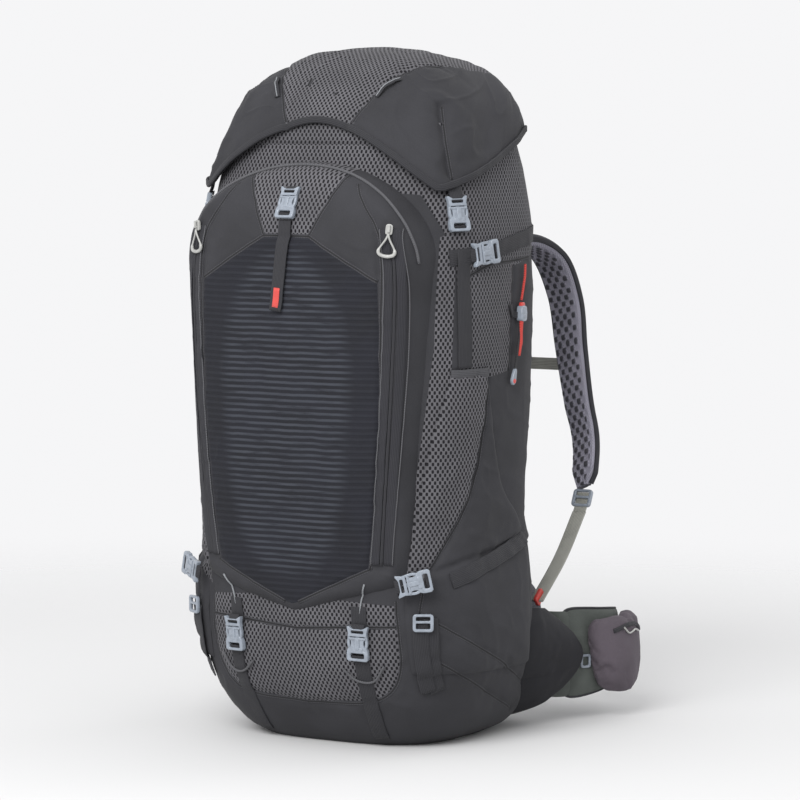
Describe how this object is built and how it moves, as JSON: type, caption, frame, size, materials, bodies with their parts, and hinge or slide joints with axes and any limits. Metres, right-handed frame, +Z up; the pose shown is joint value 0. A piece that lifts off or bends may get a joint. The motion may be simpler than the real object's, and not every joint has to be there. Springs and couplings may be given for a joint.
{
  "type": "large internal-frame hiking backpack",
  "caption": "Tall dark grey expedition backpack with a drooping lid, a ribbed front pocket with long zips, compression straps, padded shoulder straps and a hip belt with pockets.",
  "frame": {"origin": "On the flat patch of the base that the pack stands on, below the middle of the frame sheet's front.", "axes": "+X is the wearer's right, +Y points from the front pocket to the harness, +Z is up along the pack's height."},
  "size_m": [0.4588, 0.5876, 0.87],
  "materials": {
    "pack_fabric": "matte",
    "stretch_fabric": "matte",
    "webbing": "matte",
    "olive_webbing": "matte",
    "strap_padding": "matte",
    "belt_padding": "matte",
    "buckle_plastic": "satin",
    "pull_plastic": "satin",
    "dark_plastic": "satin",
    "red_plastic": "satin",
    "frame_alloy": "satin"
  },
  "bodies": {
    "pack": {"main_bag": "pack_fabric", "spindrift_collar": "pack_fabric", "front_pocket": "stretch_fabric", "framesheet": "dark_plastic", "frame_rod": "frame_alloy", "back_panel": "strap_padding", "lumbar_pad": "pack_fabric", "haul_loop": "webbing", "front_buckle_plug": "buckle_plastic", "keeper_lock": "dark_plastic", "keeper_cord": "webbing", "side_pocket_right": "stretch_fabric", "side_strap_right": "webbing", "lower_strap_right": "webbing", "bag_strap_right": "webbing", "side_buckle_right_plug": "buckle_plastic", "lower_buckle_right_plug": "buckle_plastic", "bag_buckle_right_plug": "buckle_plastic", "side_pocket_left": "stretch_fabric", "side_strap_left": "webbing", "lower_strap_left": "webbing", "bag_strap_left": "webbing", "side_buckle_left_plug": "buckle_plastic", "lower_buckle_left_plug": "buckle_plastic", "bag_buckle_left_plug": "buckle_plastic"},
    "lid": {"lid": "pack_fabric", "lid_buckle_right_plug": "buckle_plastic", "lid_buckle_left_plug": "buckle_plastic"},
    "lid_buckle_right_socket": {"lid_buckle_right_socket": "buckle_plastic"},
    "side_buckle_right_socket": {"side_buckle_right_socket": "buckle_plastic"},
    "lower_buckle_right_socket": {"lower_buckle_right_socket": "buckle_plastic"},
    "bag_buckle_right_socket": {"bag_buckle_right_socket": "buckle_plastic"},
    "zip_slider_right": {"zip_slider_right": "pull_plastic"},
    "zip_pull_right": {"zip_pull_right": "pull_plastic"},
    "shoulder_right": {"shoulder_strap_right": "strap_padding", "strap_webbing_right": "olive_webbing", "strap_adjuster_right": "buckle_plastic", "sternum_webbing_right": "olive_webbing", "sternum_buckle_plug": "buckle_plastic"},
    "hip_right": {"hip_wing_right": "belt_padding", "hip_pocket_right": "pack_fabric", "hip_webbing_right": "webbing", "hip_buckle_plug": "buckle_plastic"},
    "lid_buckle_left_socket": {"lid_buckle_left_socket": "buckle_plastic"},
    "side_buckle_left_socket": {"side_buckle_left_socket": "buckle_plastic"},
    "lower_buckle_left_socket": {"lower_buckle_left_socket": "buckle_plastic"},
    "bag_buckle_left_socket": {"bag_buckle_left_socket": "buckle_plastic"},
    "zip_slider_left": {"zip_slider_left": "pull_plastic"},
    "zip_pull_left": {"zip_pull_left": "pull_plastic"},
    "shoulder_left": {"shoulder_strap_left": "strap_padding", "strap_webbing_left": "olive_webbing", "strap_adjuster_left": "buckle_plastic", "sternum_webbing_left": "olive_webbing"},
    "hip_left": {"hip_wing_left": "belt_padding", "hip_pocket_left": "pack_fabric", "hip_webbing_left": "webbing"},
    "front_buckle_socket": {"front_buckle_socket": "buckle_plastic"},
    "sternum_buckle_socket": {"sternum_buckle_socket": "buckle_plastic"},
    "hip_buckle_socket": {"hip_buckle_socket": "buckle_plastic"},
    "keeper_button": {"keeper_button": "red_plastic"}
  },
  "joints": [
    {"name": "lid_hinge", "type": "hinge", "parent": "pack", "child": "lid", "pos_m": [0, 0.177, 0.766], "axis": [-1, 0, 0], "range_deg": [0, 105]},
    {"name": "lid_buckle_right_release", "type": "slide", "parent": "pack", "child": "lid_buckle_right_socket", "axis": [0.1887, -0.0792, -0.9788], "range_m": [0, 0.025]},
    {"name": "side_buckle_right_release", "type": "slide", "parent": "pack", "child": "side_buckle_right_socket", "axis": [0.1657, 0.9813, 0.0982], "range_m": [0, 0.025]},
    {"name": "lower_buckle_right_release", "type": "slide", "parent": "pack", "child": "lower_buckle_right_socket", "axis": [0.8203, 0.53, 0.2149], "range_m": [0, 0.022]},
    {"name": "bag_buckle_right_release", "type": "slide", "parent": "pack", "child": "bag_buckle_right_socket", "axis": [-0.0405, 0.0874, -0.9954], "range_m": [0, 0.022]},
    {"name": "zip_right_run", "type": "slide", "parent": "pack", "child": "zip_slider_right", "axis": [-0.0871, -0.049, -0.995], "range_m": [0, 0.22]},
    {"name": "zip_pull_right_swing", "type": "hinge", "parent": "zip_slider_right", "child": "zip_pull_right", "pos_m": [0.14307, -0.16536, 0.64644], "axis": [-0.9172, -0.3859, 0.0993], "range_deg": [0, 120]},
    {"name": "shoulder_right_swing", "type": "hinge", "parent": "pack", "child": "shoulder_right", "pos_m": [0.056, 0.192, 0.588], "axis": [0.2625, -0.1041, -0.9593], "range_deg": [0, 50]},
    {"name": "hip_right_swing", "type": "hinge", "parent": "pack", "child": "hip_right", "pos_m": [0.16, 0.2, 0.088], "axis": [0, 0, -1], "range_deg": [0, 60]},
    {"name": "lid_buckle_left_release", "type": "slide", "parent": "pack", "child": "lid_buckle_left_socket", "axis": [-0.1887, -0.0792, -0.9788], "range_m": [0, 0.025]},
    {"name": "side_buckle_left_release", "type": "slide", "parent": "pack", "child": "side_buckle_left_socket", "axis": [-0.1657, 0.9813, 0.0982], "range_m": [0, 0.025]},
    {"name": "lower_buckle_left_release", "type": "slide", "parent": "pack", "child": "lower_buckle_left_socket", "axis": [-0.8203, 0.53, 0.2149], "range_m": [0, 0.022]},
    {"name": "bag_buckle_left_release", "type": "slide", "parent": "pack", "child": "bag_buckle_left_socket", "axis": [0.0405, 0.0874, -0.9954], "range_m": [0, 0.022]},
    {"name": "zip_left_run", "type": "slide", "parent": "pack", "child": "zip_slider_left", "axis": [0.0871, -0.049, -0.995], "range_m": [0, 0.22]},
    {"name": "zip_pull_left_swing", "type": "hinge", "parent": "zip_slider_left", "child": "zip_pull_left", "pos_m": [-0.14307, -0.16536, 0.64644], "axis": [-0.9172, 0.3859, -0.0993], "range_deg": [0, 120]},
    {"name": "shoulder_left_swing", "type": "hinge", "parent": "pack", "child": "shoulder_left", "pos_m": [-0.056, 0.192, 0.588], "axis": [0.2625, 0.1041, 0.9593], "range_deg": [0, 50]},
    {"name": "hip_left_swing", "type": "hinge", "parent": "pack", "child": "hip_left", "pos_m": [-0.16, 0.2, 0.088], "axis": [0, 0, 1], "range_deg": [0, 60]},
    {"name": "front_buckle_release", "type": "slide", "parent": "pack", "child": "front_buckle_socket", "axis": [0, -0.4024, -0.9155], "range_m": [0, 0.02]},
    {"name": "sternum_buckle_release", "type": "slide", "parent": "shoulder_left", "child": "sternum_buckle_socket", "axis": [-1, 0, 0], "range_m": [0, 0.015]},
    {"name": "hip_buckle_release", "type": "slide", "parent": "hip_left", "child": "hip_buckle_socket", "axis": [-1, 0, 0], "range_m": [0, 0.04]},
    {"name": "keeper_button_press", "type": "slide", "parent": "pack", "child": "keeper_button", "axis": [0.0039, -0.0408, -0.9992], "range_m": [0, 0.003], "stiffness_N_per_m": 200}
  ]
}
